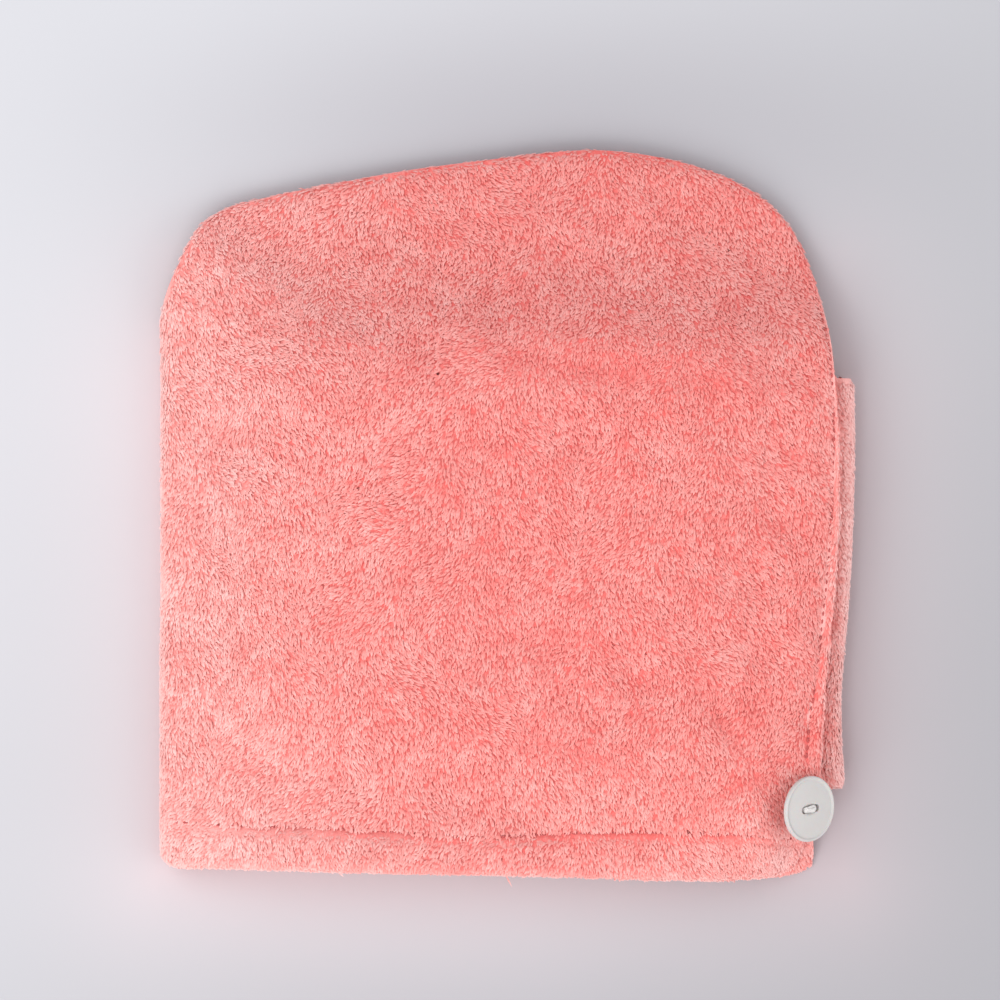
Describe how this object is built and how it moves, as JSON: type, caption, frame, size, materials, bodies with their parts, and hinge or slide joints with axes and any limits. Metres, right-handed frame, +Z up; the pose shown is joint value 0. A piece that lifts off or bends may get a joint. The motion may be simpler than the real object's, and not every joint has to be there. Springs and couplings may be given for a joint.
{
  "type": "hair turban towel",
  "caption": "Plush towelling hair turban folded flat: a soft hood open along its hem, a tail folded under it and a round button at the nape.",
  "frame": {"origin": "middle of the footprint, on the surface that the folded towel lies on", "axes": "+X to the back rim with the button, +Y to the crown, +Z up through the folded layers"},
  "size_m": [0.2374, 0.2497, 0.0331],
  "materials": {
    "plush_outer": "coral pink plush towelling",
    "plush_inner": "coral pink plush towelling",
    "button_plastic": "off-white, semi-gloss",
    "sewing_thread": "matt white thread"
  },
  "bodies": {
    "root": {"outer_panel": "plush_outer", "inner_panel": "plush_inner", "button": "button_plastic", "button_thread": "sewing_thread"}
  },
  "joints": []
}
